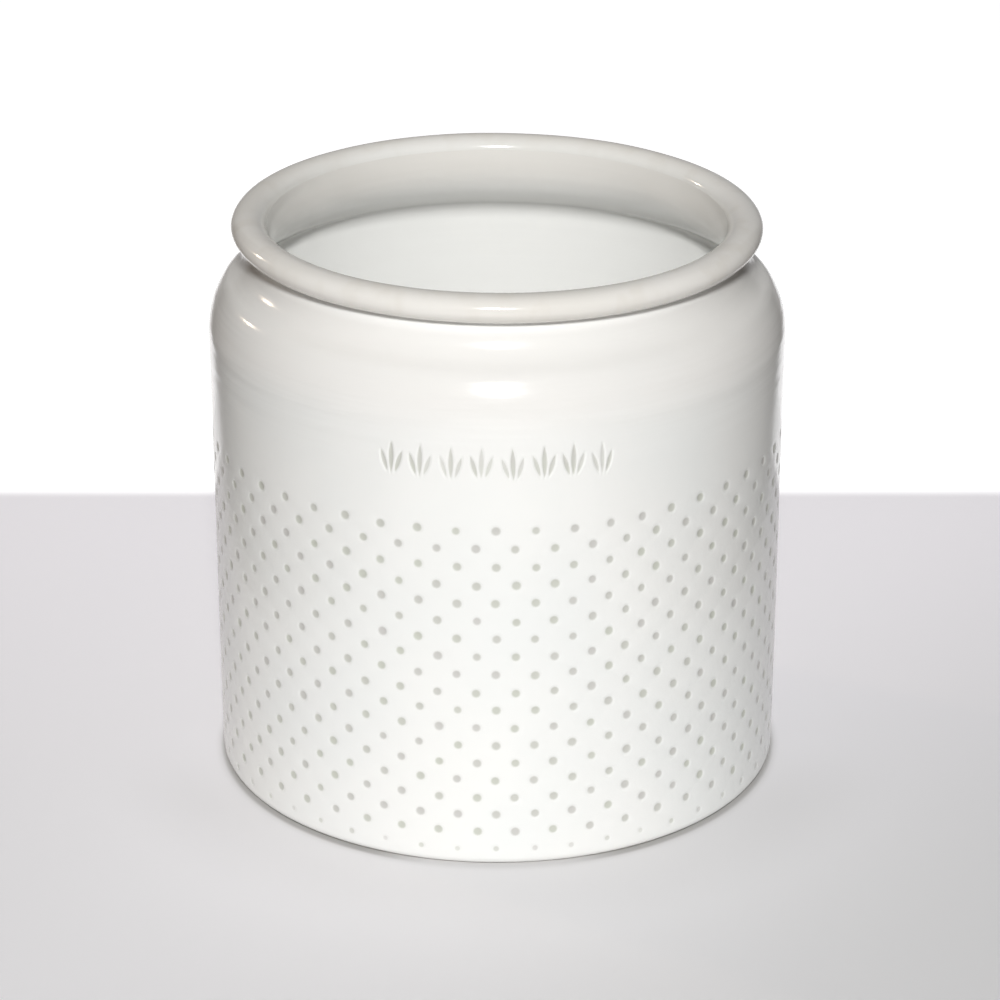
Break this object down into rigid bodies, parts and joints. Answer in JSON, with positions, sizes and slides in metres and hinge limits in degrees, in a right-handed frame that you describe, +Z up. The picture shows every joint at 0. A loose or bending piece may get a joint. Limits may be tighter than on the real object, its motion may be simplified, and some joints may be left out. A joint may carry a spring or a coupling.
{
  "type": "utensil holder",
  "caption": "Round glazed stoneware crock with a straight wall, a turned-in shoulder and a rolled rim, open at the top to hold kitchen utensils upright.",
  "frame": {"origin": "centre of the foot, on the surface the crock stands on", "axes": "+Z up along the crock's axis, -Y towards the front with the stamped marks, +X to the right as the front is seen"},
  "size_m": [0.1526, 0.1526, 0.154],
  "materials": {
    "bare_clay": "unglazed, fine matte stoneware",
    "clay_body": "fired stoneware under the glaze",
    "rim_glaze": "glossy, thinner and slightly beige on the rim",
    "white_glaze": "glossy off-white with impressed beige dots",
    "inside_glaze": "glossy off-white"
  },
  "bodies": {
    "root": {"foot_ring": "bare_clay", "base": "clay_body", "body_wall": "clay_body", "shoulder": "clay_body", "rolled_rim": "rim_glaze", "outer_glaze": "white_glaze", "inner_glaze": "inside_glaze"}
  },
  "joints": []
}
